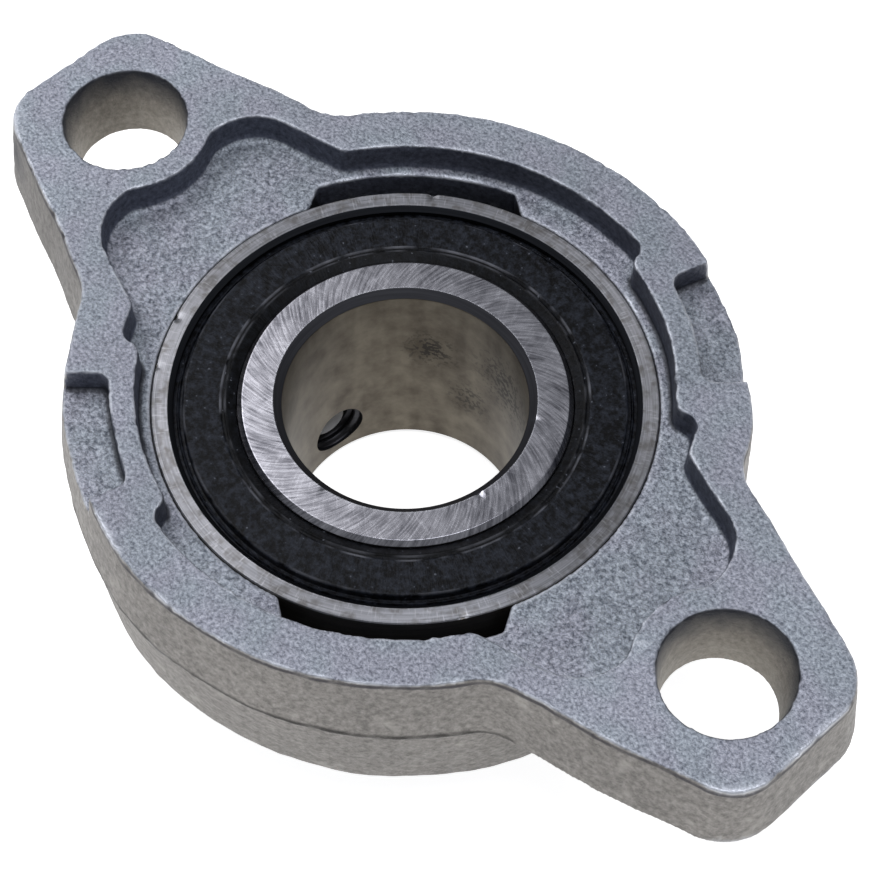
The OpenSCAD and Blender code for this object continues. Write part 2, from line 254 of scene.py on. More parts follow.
# Zinc die casting: the CAD solid remeshed, its edges rounded, its skin uneven
casting = {
    "voxel": 0.12,  # mm, the step of the remesh
    "passes": 3,  # smoothing passes, for edges of about 0.15 mm
    "softPasses": 8,  # of the longer smoothing that tells edges and corners from faces
    "footPasses": 26,  # for the softer corners at the foot of the recess's wall
    "edge": (0.014, 0.034),  # mm that the longer smoothing pulls an edge in, where wear and its painted highlight start and are full
    "corner": (0.010, 0.026),  # mm that it pushes a corner out, the same for the painted corner shade
    "triangles": 190000,
    "seatCentre": -6.7,  # mm, as all below
    "seatRadius": 16.03,
    "seatFree": (0.05, 0.6),  # how far from the seat the surface starts to move, and is free
    "boltX": 26.5,
    "boltReach": 4.5,
    "recessFloor": -2.2,
    "radii": {"recess": 15.9, "foot": 16.6, "seatMouth": 17.2, "pad": 17.6, "padFoot": 18.2,
              "outerEdge": 18.5, "outerWall": 19.3, "body": 22.2},  # where the regions begin or end
    "heights": {"overLine": -5, "recessEnd": -4.3, "underRim": -3, "seatMouth": -2.35, "pad": (-2.05, -1.0),
                "padFoot": (-2.0, -0.6)},
    "swell": (6.0, 0.016),  # size and height in mm of the slow unevenness of the walls
    "ripple": (1.3, 0.010),  # of the finer one
    "ragged": (0.8, 0.015),  # of the worn edges
    "shifts": [
        # x, y, z, reach and the sideways shift in x and y, mm, where the real casting isn't symmetric
        (15.0, 13.6, -2, 5.0, 0.34, 0.32), (21.3, 8.6, -2, 5.0, 0.12, 0.26),
        (27.7, 6.5, -2, 6.0, 0.06, 0.26), (10.5, 17.0, -2, 5.5, 0.12, 0.22),
        (4.5, 19.5, -2, 5.5, 0.04, 0.22), (-0.5, 20.1, -2, 4.0, 0.0, 0.12),
        (-22.0, 8.5, -2, 6.0, -0.03, 0.15), (-29.0, 5.8, -2, 5.0, -0.04, 0.16),
        (-19.3, -10.8, -4, 5.5, -0.20, -0.36), (-13.0, -15.5, -4, 4.5, -0.11, -0.14),
        (-25.9, -7.9, -4, 5.0, -0.03, -0.15), (-10.0, -18.3, -2, 5.5, 0.09, 0.17),
        (-6.0, -20.0, -2, 4.5, 0.05, 0.15), (25.5, -7.9, -4, 5.5, 0.02, -0.26),
        (1.0, -19.9, -13, 7.0, 0.0, -0.20), (9.0, -17.8, -13, 7.0, 0.10, -0.20),
        (14.5, -13.4, -13, 7.0, 0.18, -0.16), (18.9, -7.4, -13, 7.0, 0.27, -0.10),
        (17.0, 12.5, -1, 5.0, 0.37, 0.33), (15.5, 14.5, -9, 6.5, -0.62, -0.52),
    ],
    "knocks": [
        # x, y, z, size and depth in mm; a depth below 0 is a burr
        (11.2, 12.0, 0, 0.5, -0.22), (2.7, -20.3, 0, 0.4, -0.12), (-2.4, 17.5, 0, 0.45, -0.15),
        (-1.3, 17.4, 0, 0.3, -0.10), (32.5, -0.7, 0, 0.35, -0.10), (-3.0, -19.7, 0, 0.4, 0.10),
    ],
    "rubbed": [
        # x, y and reach, where handling wore the edge wider
        (-31.0, -5.2, 2.0), (-3.4, -19.6, 2.2), (1.7, -20.3, 1.4),
        (32.5, -0.7, 1.6), (32.4, 1.6, 2.6), (31.8, -4.4, 2.4),
    ],
    "nicks": 90,  # small dents along the outside edges
    "nickSize": (0.2, 0.5),
    "nickDepth": (0.02, 0.09),
    "seed": 5,
}


def soften(points, edges, passes):
    # moves every vertex towards the middle of its neighbours, over and over
    ends = edges[:, 0], edges[:, 1]
    count = np.bincount(edges.ravel(), minlength=len(points))[:, None]
    for _ in range(passes):
        near = np.stack([
            np.bincount(ends[0], points[ends[1], axis], len(points))
            + np.bincount(ends[1], points[ends[0], axis], len(points))
            for axis in range(points.shape[1])
        ], axis=1)
        points = points + 0.5 * (near / count - points)
    return points


def bell(distance, reach):
    # 1 in the middle, 0 from the reach on, smooth between
    return np.clip(1 - (distance / reach) ** 2, 0, 1) ** 2


def makeCasting(material):
    c = casting
    radii, heights = c["radii"], c["heights"]
    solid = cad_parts["housing"].data.copy()
    solid.materials.clear()
    mesh = bakeModifier(solid, "REMESH", mode="VOXEL", voxel_size=c["voxel"] * mm)
    edges = np.empty(len(mesh.edges) * 2, int)
    mesh.edges.foreach_get("vertices", edges)
    edges = edges.reshape(-1, 2)
    points = soften(readPoints(mesh) / mm, edges, c["passes"])
    mesh.vertices.foreach_set("co", (points * mm).ravel())
    mesh.update()
    normal = readPoints(mesh, "normal")
    # how far a longer smoothing pulls a vertex in, which is large on outside edges and below 0 in corners
    softer = soften(points, edges, c["softPasses"])
    pulled = ((points - softer) * normal).sum(1)
    worn = within(pulled, *c["edge"])
    corner = within(-pulled, *c["corner"])

    # the foot of the recess's wall, cast with a softer corner
    radius = np.hypot(points[:, 0], points[:, 1])
    foot = corner * (np.abs(points[:, 2] - c["recessFloor"]) < 0.3) * (radius > radii["foot"])
    foot = np.clip(soften(foot[:, None], edges, 10) * 3, 0, 1)
    points += foot * (soften(softer, edges, c["footPasses"]) - points)

    fromSeat = np.sqrt(radius ** 2 + (points[:, 2] - c["seatCentre"]) ** 2) - c["seatRadius"]
    free = within(fromSeat, *c["seatFree"])  # the seat stays true
    wall = 1 - within(np.abs(normal[:, 2]), 0.45, 0.75)
    inBolt = np.hypot(np.abs(points[:, 0]) - c["boltX"], points[:, 1]) < c["boltReach"]
    outward = (points[:, :2] * normal[:, :2]).sum(1) / radius > 0.2
    height = points[:, 2].copy()
    overLine = height > heights["overLine"]
    outer = (radius > radii["outerWall"]) & ~inBolt
    side = np.where((height < heights["underRim"]) & ~inBolt, radius > radii["outerWall"],
                    wall * (outward & outer))
    recess = wall * (side == 0) * ~inBolt * (height > heights["recessEnd"]) * (radius > radii["recess"])
    padLow, padHigh = heights["pad"]
    pad = within(normal[:, 2], 0.5, 0.8) * (height < padHigh) * (height > padLow) * (radius > radii["pad"])
    hidden = (fromSeat < 0.9) * (height < heights["seatMouth"]) * (radius < radii["seatMouth"])
    rubbed = sum(bell(np.hypot(points[:, 0] - x, points[:, 1] - y), reach) for x, y, reach in c["rubbed"])
    # bright metal, worn and with a painted highlight, shows most on the outer edges of the top, wider where
    # it was rubbed, least round the bolt holes
    wide = np.clip(soften(worn[:, None], edges, 4)[:, 0] * 1.8, 0, 1)
    bright = worn * np.where(outward & (radius > radii["outerEdge"]), 0.8, 0.6)
    bright = np.maximum(bright * np.where(inBolt, 0.25, 1) * overLine, 0.8 * wide * rubbed)
    padLow, padHigh = heights["padFoot"]
    padFoot = (radius < radii["padFoot"]) & (height > padLow) & (height < padHigh)

    move = 0
    for k, (name, count, share) in enumerate((
            ("swell", 24, 0.25 + 0.75 * side), ("ripple", 40, 0.35 + 0.65 * side),
            ("ragged", 48, worn * overLine * (1 + 1.2 * inBolt)))):
        size, depth = c[name]
        move = move + depth * waves(points, size, count, c["seed"] + k) * share
    points += normal * (move * free)[:, None]

    # small dents along the outside edges, and the larger ones and the burrs that the photo shows
    rng = np.random.default_rng(c["seed"] + 3)
    onEdge = np.flatnonzero((worn > 0.7) & (free > 0.9) & overLine)
    dents = [(*points[spot], rng.uniform(*c["nickSize"]), rng.uniform(*c["nickDepth"]))
             for spot in rng.choice(onEdge, c["nicks"], replace=False)]
    for x, y, z, size, depth in dents + c["knocks"]:
        away = np.linalg.norm(points - (x, y, z), axis=1)
        points -= normal * (depth * bell(away, size) * free)[:, None]

    # the casting's own lopsidedness
    bend = np.zeros((len(points), 2))
    for x, y, z, reach, shiftX, shiftY in c["shifts"]:
        away = np.linalg.norm((points - (x, y, z)) * (1, 1, 0.4), axis=1)
        bend += bell(away, reach)[:, None] * (shiftX, shiftY)
    points[:, :2] += bend * free[:, None]
    mesh.vertices.foreach_set("co", (points * mm).ravel())

    masks = {
        "bright": bright,
        "rubbed": np.clip(rubbed, 0, 1),
        # corners, which the material darkens as painted shade, more at the pads' foot
        "corner": np.clip(corner * (1 - foot[:, 0]) + 2 * wide * padFoot, 0, 1),
        "side": side,
        "body": side * (radius < radii["body"]),
        "pad": pad,
        "recessWall": recess,
        "boltWall": np.clip(1.6 * soften((wall * inBolt)[:, None], edges, 3)[:, 0], 0, 1),
        "hidden": hidden,
    }
    for name, values in masks.items():  # a number for every vertex, which the material reads
        mask = mesh.attributes.new(name, "FLOAT", "POINT")
        mask.data.foreach_set("value", values.astype(np.float32))
    share = c["triangles"] / (2 * len(mesh.polygons))
    mesh = bakeModifier(mesh, "DECIMATE", ratio=share)
    print("casting:", len(mesh.polygons), "faces")
    return addPiece("housing_casting", mesh, [material], "housing", ["housing"])


def castZinc():
    # Zinc die casting, bead blasted on top: an even pebbled skin that scatters most of the light, with a
    # cold blue-grey on the blasted faces, warmer as-cast side walls with a dark parting line, near black
    # walls in the recess as painted shade, lighter on the left as painted light, painted shade in the
    # corners, under the rim's edge and on the left side walls, and bright worn metal with a painted
    # highlight on the edges.
    # The pits that the beads leave, about 0.1 mm, are drawn 0.19 mm across, or they wouldn't show.
    material, add, shader, place = startMaterial("blasted zinc die casting", Metallic=0.55, Roughness=0.52)
    masks = {}
    for name in ("bright", "rubbed", "corner", "side", "body", "pad", "recessWall", "boltWall", "hidden"):
        masks[name] = add("Attribute", {"attribute_name": name}).outputs["Fac"]
    split = add("SeparateXYZ", {0: place})
    height = split.outputs[2]
    flat = add("CombineXYZ", {0: split.outputs[0], 1: split.outputs[1]})
    fromAxis = add("VectorMath", {"operation": "LENGTH", 0: flat})
    pebbles = add("TexNoise", {"Scale": 1 / 0.19, "Roughness": 0.6, "Vector": place})
    worms = add("TexNoise", {"Scale": 1 / 0.42, "Detail": 1.0, "Distortion": 0.7, "Vector": place})
    mottle = add("TexNoise", {"Scale": 1 / 0.38, "Detail": 3.0, "Roughness": 0.7, "Vector": place})
    patches = add("TexNoise", {"Scale": 1 / 1.6, "Vector": place})
    tints = add("TexNoise", {"Scale": 1 / 3.2, "Detail": 1.0, "Vector": place})
    clouds = add("TexNoise", {"Scale": 1 / 8, "Detail": 1.0, "Vector": place})

    # blasted skin: pebbles with thin dark grooves winding between them, rougher on the recess's floor
    gain = add("MapRange", {"From Min": -1.5, "From Max": -0.5, "To Min": 2.8, "To Max": 2.3,
                            "Value": height})
    grain = add("Mix", {0: 0.45, 2: pebbles, 3: mottle})
    grain = add("Math", {"operation": "SUBTRACT", 1: 0.5, 0: grain})
    grain = add("Math", {"operation": "MULTIPLY_ADD", 2: 0.5, 0: grain, 1: gain})
    groove = add("Math", {"operation": "SUBTRACT", 1: 0.5, 0: worms})
    groove = add("Math", {"operation": "ABSOLUTE", 0: groove})
    groove = add("MapRange", {"From Max": 0.07, "Value": groove})
    depth = add("MapRange", {"From Min": -1.5, "From Max": -0.5, "To Min": 0.68, "To Max": 0.84,
                             "Value": height})
    shade = add("MapRange", {"Value": groove, "To Min": depth})
    skin = add("Mix", {"data_type": "RGBA", 6: "#575c66", 7: "#bcc0c8", 0: grain})
    hue = add("MapRange", {"From Min": 0.38, "From Max": 0.62, "Value": tints})
    tint = add("Mix", {"data_type": "RGBA", 6: (1.015, 0.985, 1.005, 1), 7: (0.97, 1.0, 0.99, 1), 0: hue})
    colour = add("VectorMath", {"operation": "MULTIPLY", 0: skin, 1: tint})
    lug = add("MapRange", {"From Min": 19, "From Max": 27, "To Min": 0.94, "To Max": 1.05,
                           "Value": fromAxis})
    padShade = add("MapRange", {"To Min": 1.0, "To Max": 0.92, "Value": masks["pad"]})
    for share in (shade, lug, padShade):
        colour = add("VectorMath", {"operation": "SCALE", 0: colour, "Scale": share})

    # as-cast side walls: warm grey mottle, light specks, a darker boss below the parting line, and painted
    # shade towards the left end
    spread = add("MapRange", {"From Min": 0.3, "From Max": 0.7, "Value": mottle})
    warm = add("Mix", {"data_type": "RGBA", 6: "#6a6763", 7: "#a09c97", 0: spread})
    speck = add("MapRange", {"From Min": 0.60, "From Max": 0.72, "To Max": 0.45, "Value": patches})
    warm = add("Mix", {"data_type": "RGBA", 7: "#b5b1ab", 0: speck, 6: warm})
    below = add("MapRange", {"From Min": -5.9, "From Max": -5.3, "To Min": 0.94, "To Max": 1.0,
                             "Value": height})
    # painted shade on the side walls, darker towards the left end
    leftShade = add("MapRange", {"From Min": -25, "From Max": -8, "To Min": 0.64, "To Max": 1.0,
                              "Value": split.outputs[0]})
    for share in (below, leftShade):
        warm = add("VectorMath", {"operation": "SCALE", 0: warm, "Scale": share})
    colour = add("Mix", {"data_type": "RGBA", 0: masks["side"], 6: colour, 7: warm})
    # painted shade on the wall by one lug's corner, where a facet turns from the light
    away = add("VectorMath", {"operation": "DISTANCE", 1: (-30.6, -5.5, -2.0), 0: place})
    cornerFacetShade = add("MapRange", {"From Min": 0.6, "From Max": 2.8, "To Min": 0.8, "To Max": 0.0, "Value": away})
    cornerFacetShade = add("Math", {"operation": "MULTIPLY", 0: cornerFacetShade, 1: masks["side"]})
    colour = add("Mix", {"data_type": "RGBA", 7: "#3b3c41", 0: cornerFacetShade, 6: colour})

    # walls of the bolt holes, dark at the mouth, and of the recess, dark as painted shade and lighter
    # towards the left as painted light
    ragged = add("Math", {"operation": "MULTIPLY_ADD", 1: 1.6, 0: patches, 2: height})
    mouth = add("MapRange", {"From Min": -1.7, "From Max": 0.5, "Value": ragged})
    boltBase = add("Mix", {"data_type": "RGBA", 6: "#7f7a71", 7: "#a39d93", 0: spread})
    boltTone = add("Mix", {"data_type": "RGBA", 7: "#383a41", 0: mouth, 6: boltBase})
    farSide = add("MapRange", {"From Min": 27.5, "From Max": 30.5, "To Min": 1.0, "To Max": 0.45,
                               "Value": split.outputs[0]})
    boltTone = add("VectorMath", {"operation": "SCALE", 0: boltTone, "Scale": farSide})
    # the recess walls, darkened as painted shade
    recessShade = add("Mix", {"data_type": "RGBA", 6: "#343741", 7: "#5a5e6b", 0: spread})
    # painted light on the recess walls, lighter towards the left
    paintedLightLeft = add("MapRange", {"From Min": -14, "From Max": -5, "To Min": 1.45, "To Max": 1.0,
                             "Value": split.outputs[0]})
    recessShade = add("VectorMath", {"operation": "SCALE", 0: recessShade, "Scale": paintedLightLeft})
    for name, tone in (("boltWall", boltTone), ("recessWall", recessShade)):
        colour = add("Mix", {"data_type": "RGBA", 0: masks[name], 6: colour, 7: tone})
    # the seat where the ring hides it, dark as painted shade
    colour = add("Mix", {"data_type": "RGBA", 7: "#26262a", 0: masks["hidden"], 6: colour})
    # slow change of tone over the whole casting
    drift = add("MapRange", {"From Min": 0.3, "From Max": 0.7, "To Min": 0.92, "To Max": 1.08,
                             "Value": clouds})
    colour = add("VectorMath", {"operation": "SCALE", 0: colour, "Scale": drift})

    # two thin dark lines that waver with the tints: a painted shadow under the rim's edge, and the dark
    # parting line
    waver = add("Math", {"operation": "MULTIPLY_ADD", 1: 0.5, 2: -0.25, 0: tints})
    level = add("Math", {"operation": "ADD", 0: height, 1: waver})
    for line, half, mask, strength, tone in ((-0.32, 0.20, "side", 0.85, "#2e2c34"),
                                             (-5.40, 0.42, "body", 0.95, "#221e1a")):
        away = add("Math", {"operation": "SUBTRACT", 1: line, 0: level})
        away = add("Math", {"operation": "ABSOLUTE", 0: away})
        drawn = add("MapRange", {"From Min": half * 0.4, "From Max": half, "To Min": strength,
                                 "To Max": 0.0, "Value": away})
        faded = add("MapRange", {"From Min": 0.36, "From Max": 0.50, "To Min": 0.65, "Value": patches})
        drawn = add("Math", {"operation": "MULTIPLY", 0: drawn, 1: masks[mask]})
        drawn = add("Math", {"operation": "MULTIPLY", 0: drawn, 1: faded})
        colour = add("Mix", {"data_type": "RGBA", 7: tone, 0: drawn, 6: colour})

    # painted shade in the corners, and bright worn metal with a painted highlight on the edges, broken up by
    # the patches
    cornerShade = add("Math", {"operation": "MULTIPLY", 1: 0.78, 0: masks["corner"]})
    colour = add("Mix", {"data_type": "RGBA", 7: "#202126", 0: cornerShade, 6: colour})
    wear = add("Math", {"operation": "MULTIPLY_ADD", 1: 0.5, 0: masks["rubbed"], 2: patches})
    broken = add("MapRange", {"From Min": 0.36, "From Max": 0.62, "Value": wear})
    # bright worn metal with a painted highlight along the edges
    bareAndHighlight = add("Math", {"operation": "MULTIPLY", 0: broken, 1: masks["bright"]})
    colour = add("Mix", {"data_type": "RGBA", 7: "#dcdfe5", 0: bareAndHighlight, 6: colour})
    rough = add("MapRange", {"To Min": 0.56, "To Max": 0.34, "Value": bareAndHighlight})
    relief = add("Math", {"operation": "MULTIPLY_ADD", 1: 0.25, 0: groove, 2: pebbles})
    bump = add("Bump", {"Distance": 0.035 * mm, "Height": relief})
    feed(shader, {"Base Color": colour, "Roughness": rough, "Normal": bump})
    return material


makeCasting(castZinc())
print("casting made")


def roundedOutline(corners, spacing=0.3):
    # closed outline of (radius, height, rounding, zone) corners in mm, rounded and cut into short steps
    close = 0.06  # mm, a step at each end of a straight, which keeps the shading flat between
    points, zones = [], []
    count = len(corners)
    place = [Vector(c[:2]) for c in corners]
    for i, (_, _, rounding, zone) in enumerate(corners):
        here, before, after = place[i], place[i - 1], place[(i + 1) % count]
        a, b = (before - here).normalized(), (after - here).normalized()
        half = a.angle(b) / 2
        if rounding > 0 and half < math.radians(88):
            reach = rounding / math.tan(half)
            centre = here + (a + b).normalized() * (rounding / math.sin(half))
            start, end = here + a * reach - centre, here + b * reach - centre
            turn = start.angle_signed(end)
            for k in range(5):
                points.append(centre + Matrix.Rotation(-turn * k / 4, 2) @ start)
                zones.append(zone)
        else:
            points.append(here)
            zones.append(zone)
    outline, kept = [], []
    for i, here in enumerate(points):
        after = points[(i + 1) % len(points)]
        length = (after - here).length
        if length < 1e-6:
            continue
        outline.append(here)
        kept.append(zones[i])
        if length > 3 * close:
            inner = max(1, round((length - 2 * close) / spacing))
            for k in range(inner + 1):
                outline.append(here.lerp(after, (close + (length - 2 * close) * k / inner) / length))
                kept.append(zones[i])
    return [tuple(p) for p in outline], kept


def turn(name, outline, zones, lift, segments):
    # sweeps the outline round the shaft axis; lift is the height of the bearing's middle, in mm
    outline = np.array(outline)
    angles = np.arange(segments) * 2 * math.pi / segments
    r, z = outline[:, 0][None, :], outline[:, 1][None, :]
    across = np.stack([r * np.cos(angles)[:, None], r * np.sin(angles)[:, None],
                       z + 0 * angles[:, None] + lift], axis=2)
    rows = len(outline)
    i, j = np.meshgrid(np.arange(segments), np.arange(rows), indexing="ij")
    nextI, nextJ = (i + 1) % segments, (j + 1) % rows
    quads = np.stack([i * rows + j, nextI * rows + j, nextI * rows + nextJ, i * rows + nextJ], axis=2)
    mesh = bpy.data.meshes.new(name)
    mesh.from_pydata((across.reshape(-1, 3) * mm).tolist(), [], quads.reshape(-1, 4).tolist())
    mesh.polygons.foreach_set("material_index", np.tile(zones, segments))
    mesh.update()
    return mesh


def arcCorners(centre, radius, start, end, zone, steps=14):
    # points of an arc as corners without rounding, angles in degrees
    angles = np.radians(np.linspace(start, end, steps))
    return [(centre[0] + radius * math.cos(a), centre[1] + radius * math.sin(a), 0, zone) for a in angles]


def mirrored(corners):
    # the outline's other half, with each zone moved to the step that it now starts
    flipped = [(r, -z, rounding) for r, z, rounding, _ in reversed(corners)]
    zones = [zone for *_, zone in reversed(corners)][1:] + [corners[0][3]]
    return [(*corner, zone) for corner, zone in zip(flipped, zones)]


def nick(mesh, spots):
    # dents of (angle, radius, height, size, depth) in mm, pushed towards the inside of the metal
    points, normal = readPoints(mesh) / mm, readPoints(mesh, "normal")
    for angle, r, z, size, depth in spots:
        a = math.radians(angle)
        away = np.linalg.norm(points - (r * math.cos(a), r * math.sin(a), z), axis=1) / size
        points -= normal * (depth * np.clip(1 - away ** 2, 0, 1))[:, None]
    mesh.vertices.foreach_set("co", (points * mm).ravel())
    mesh.update()


# Outer ring: ground sphere and faces round the raceway, both seal grooves
outerRing = {
    "middle": -6.7,  # height of the bearing's middle
    "halfWidth": 4.5,
    "sphere": 16.0,
    "shoulder": 13.25,
    "mouth": 14.05,
    "groove": 14.45,
    "sealSeat": 3.35,
    "grooveHeight": 0.6,
    "mouthChamfer": 0.3,
    "sphereChamfer": 0.05,
    "chamferAngle": 16.08,  # degrees up the sphere where the face's chamfer meets it
    "raceRadius": 2.476,
    "raceCentre": 11.685,
    "segments": 480,
    # angle, radius, height, size and depth of small knocks on its edges
    "knocks": [(131, 15.3, -2.2, 0.30, 0.12), (205, 15.3, -2.2, 0.34, 0.14), (219, 15.3, -2.2, 0.26, 0.10),
               (262, 14.2, -2.2, 0.22, 0.07), (330, 15.3, -2.2, 0.24, 0.08), (58, 14.2, -2.2, 0.20, 0.06)],
}


def makeOuterRing(faceSteel, sphereSteel, innerSteel):
    c = outerRing
    face, ball, inside = 0, 1, 2  # zones
    faceEdge = math.sqrt(c["sphere"] ** 2 - c["halfWidth"] ** 2) - c["sphereChamfer"]
    chamferAt = math.radians(c["chamferAngle"])
    raceReach = math.degrees(math.acos((c["shoulder"] - c["raceCentre"]) / c["raceRadius"]))
    grooveTop = c["sealSeat"] + c["grooveHeight"]
    upper = [
        *arcCorners((0, 0), c["sphere"], 0, c["chamferAngle"], ball)[:-1],
        (c["sphere"] * math.cos(chamferAt), c["sphere"] * math.sin(chamferAt), 0.02, face),
        (faceEdge, c["halfWidth"], 0.02, face),
        (c["mouth"] + c["mouthChamfer"], c["halfWidth"], 0.05, inside),
        (c["mouth"], c["halfWidth"] - c["mouthChamfer"], 0.03, inside),
        (c["mouth"], grooveTop, 0.03, inside),
        (c["groove"], grooveTop, 0.03, inside),
        (c["groove"], c["sealSeat"], 0.03, inside),
        (c["shoulder"], c["sealSeat"], 0.05, inside),
        *arcCorners((c["raceCentre"], 0), c["raceRadius"], raceReach, 0, inside),
    ]
    lower = mirrored(upper)[1:-1]
    outline, zones = roundedOutline(upper + lower)
    mesh = turn("outer_ring", outline, zones, c["middle"], c["segments"])
    nick(mesh, c["knocks"])
    return addPiece("outer_ring_ground", mesh, [faceSteel, sphereSteel, innerSteel], "insert",
                    ["outer_ring"])


# Inner ring: the long collar with two tapped holes for the set screws
innerRing = {
    "middle": -6.7,
    "halfWidth": 4.5,
    "collarEnd": -12.0,
    "bore": 7.5,
    "outside": 10.2,
    "boreChamfer": 0.5,
    "faceChamfer": 0.3,
    "collarChamfer": 0.4,
    "raceRadius": 2.476,
    "raceCentre": 11.815,
    "segments": 400,
    "holeHeight": -9.0,
    "holeDirections": (175.7, 295.7),
    "crest": 1.79,  # radius of the thread's crests, which the screw slides in
    "root": 2.02,
    "pitch": 0.7,
    "tapFrom": 7.75,  # radius where the tap's height 0 lies
    "tapEnds": (-1.6, 4.0),
    "tapThread": (-0.2, 2.2),  # past it the hole widens outwards
    "tapWidening": 1.6,
    "knocks": [(350, 8.0, -2.2, 0.26, 0.10), (128, 10.1, -2.2, 0.24, 0.07), (36, 8.0, -2.2, 0.20, 0.05),
               (232, 10.1, -2.2, 0.22, 0.06), (281, 8.0, -2.2, 0.18, 0.05)],
}


def threaded(name, rows, pitch, segments=48):
    # a closed body along Z from rows of (height, radius, thread depth); the thread's ridges run as a helix
    # with flat crests and roots
    rows = np.array(rows, float)
    angles = np.arange(segments) * 2 * math.pi / segments
    phase = (rows[:, 0][:, None] / pitch - angles[None, :] / (2 * math.pi)) % 1
    ridge = np.clip(np.abs(2 * phase - 1) * 1.5 - 0.25, 0, 1)
    radius = rows[:, 1][:, None] + rows[:, 2][:, None] * ridge
    points = np.stack([radius * np.cos(angles), radius * np.sin(angles),
                       rows[:, 0][:, None] + 0 * radius], axis=2).reshape(-1, 3)
    faces = []
    for k in range(len(rows) - 1):
        for i in range(segments):
            j, low, high = (i + 1) % segments, k * segments, (k + 1) * segments
            faces.append((low + i, low + j, high + j, high + i))
    faces.append(tuple(reversed(range(segments))))
    last = (len(rows) - 1) * segments
    faces.append(tuple(range(last, last + segments)))
    mesh = bpy.data.meshes.new(name)
    mesh.from_pydata((points * mm).tolist(), [], faces)
    mesh.update()
    return mesh


def threadRows(start, end, base, depth, step=0.05):
    count = max(2, round((end - start) / step))
    return [(start + (end - start) * k / count, base, depth) for k in range(count + 1)]


def onScrewAxis(direction, start):
    # a body along Z to a radial line at the collar; start is the radius where its height 0 goes
    turnIn = Matrix.Rotation(math.radians(direction), 4, "Z") @ Matrix.Rotation(math.radians(90), 4, "Y")
    height = innerRing["middle"] + innerRing["holeHeight"]
    return Matrix.Translation((0, 0, height * mm)) @ turnIn @ Matrix.Translation((0, 0, start * mm))


def carve(mesh, cutter, operation="DIFFERENCE"):
    tool = bpy.data.objects.new("tool", cutter)
    bpy.context.scene.collection.objects.link(tool)
    made = bakeModifier(mesh, "BOOLEAN", operation=operation, solver="MANIFOLD", object=tool)
    bpy.data.objects.remove(tool)
    return made


def makeInnerRing(faceSteel, boreSteel, turnedSteel, chamferSteel):
    c = innerRing
    outside, face, bore, chamfer = 0, 1, 2, 3  # zones; the tapped holes take the last
    raceReach = math.degrees(math.acos((c["raceCentre"] - c["outside"]) / c["raceRadius"]))
    corners = [
        (c["outside"], c["collarEnd"] + c["collarChamfer"], 0.05, outside),
        *arcCorners((c["raceCentre"], 0), c["raceRadius"], 180 + raceReach, 180 - raceReach, outside, 24),
        (c["outside"], c["halfWidth"] - c["faceChamfer"], 0.05, face),
        (c["outside"] - c["faceChamfer"], c["halfWidth"], 0.06, face),
        (c["bore"] + c["boreChamfer"], c["halfWidth"], 0.03, chamfer),
        (c["bore"], c["halfWidth"] - c["boreChamfer"], 0.05, bore),
        (c["bore"], c["collarEnd"] + c["collarChamfer"], 0.05, chamfer),
        (c["bore"] + c["collarChamfer"], c["collarEnd"], 0.05, outside),
        (c["outside"] - c["collarChamfer"], c["collarEnd"], 0.05, outside),
    ]
    outline, zones = roundedOutline(corners)
    mesh = turn("inner_ring", outline, zones, c["middle"], c["segments"])
    nick(mesh, c["knocks"])
    metals = [turnedSteel, faceSteel, boreSteel, chamferSteel]
    for material in metals:  # before the carving, which keeps the zones only of a mesh with materials
        mesh.materials.append(material)
    for direction in c["holeDirections"]:
        rows = [
            (c["tapEnds"][0], c["crest"], 0),
            *threadRows(*c["tapThread"], c["crest"], c["root"] - c["crest"]),
            (c["tapEnds"][1], c["root"] + c["tapWidening"], 0),
        ]
        cutter = threaded("tap", rows, c["pitch"])
        for material in metals:
            cutter.materials.append(material)
        # the tapped holes take the dark scale steel, as painted shade inside them
        cutter.polygons.foreach_set("material_index", [chamfer] * len(cutter.polygons))
        cutter.transform(onScrewAxis(direction, c["tapFrom"]))
        mesh = carve(mesh, cutter)
    mesh.set_sharp_from_angle(angle=math.radians(40))
    return addPiece("inner_ring_ground", mesh, metals, "inner_ring", ["inner_ring"])


# Set screws: M4 cup point grub screws, black oxide
setScrew = {
    "start": 8.3,  # radius where the cup point's rim lies
    "length": 4.0,
    "crest": 1.74,
    "root": 1.47,
    "pitch": 0.7,
    "cup": 1.0,
    "cupDepth": 0.95,
    "rim": 1.15,
    "taper": 0.6,
    "headChamfer": 0.3,
    "socketAcross": 2.0,
    "socketDepth": 1.8,
    "drillDepth": 0.45,  # of the cone under the socket
    "centre": 0.05,  # radius of the small flats that close the cones
}


def makeSetScrew(index, direction, material):
    c = setScrew
    reach = c["crest"] - c["root"]
    rows = [
        (c["cupDepth"], c["centre"], 0), (0.02, c["cup"] - 0.02, 0), (0, c["cup"] + 0.02, 0),
        (0, c["rim"] - 0.03, 0), (0.03, c["rim"], 0), (c["taper"] - 0.1, c["crest"] - 0.14, 0),
        *threadRows(c["taper"], c["length"] - c["headChamfer"], c["root"], reach),
        (c["length"] - 0.03, c["crest"] - c["headChamfer"], 0),
        (c["length"], c["crest"] - c["headChamfer"] - 0.04, 0),
    ]
    mesh = threaded("set_screw", rows, c["pitch"])
    corner = c["socketAcross"] / 2 / math.cos(math.radians(30))
    depth = c["length"] - c["socketDepth"]
    hexRows = [(depth - c["drillDepth"], c["centre"], 0), (depth, corner, 0),
               (c["length"] - 0.12, corner, 0), (c["length"] + 0.2, corner + 0.32, 0)]
    mesh = carve(mesh, threaded("socket", hexRows, 1, 6))
    mesh.transform(onScrewAxis(direction, c["start"]))
    mesh.set_sharp_from_angle(angle=math.radians(38))
    name = f"set_screw_{index}"
    return addPiece(f"{name}_threaded", mesh, [material], name, [name])


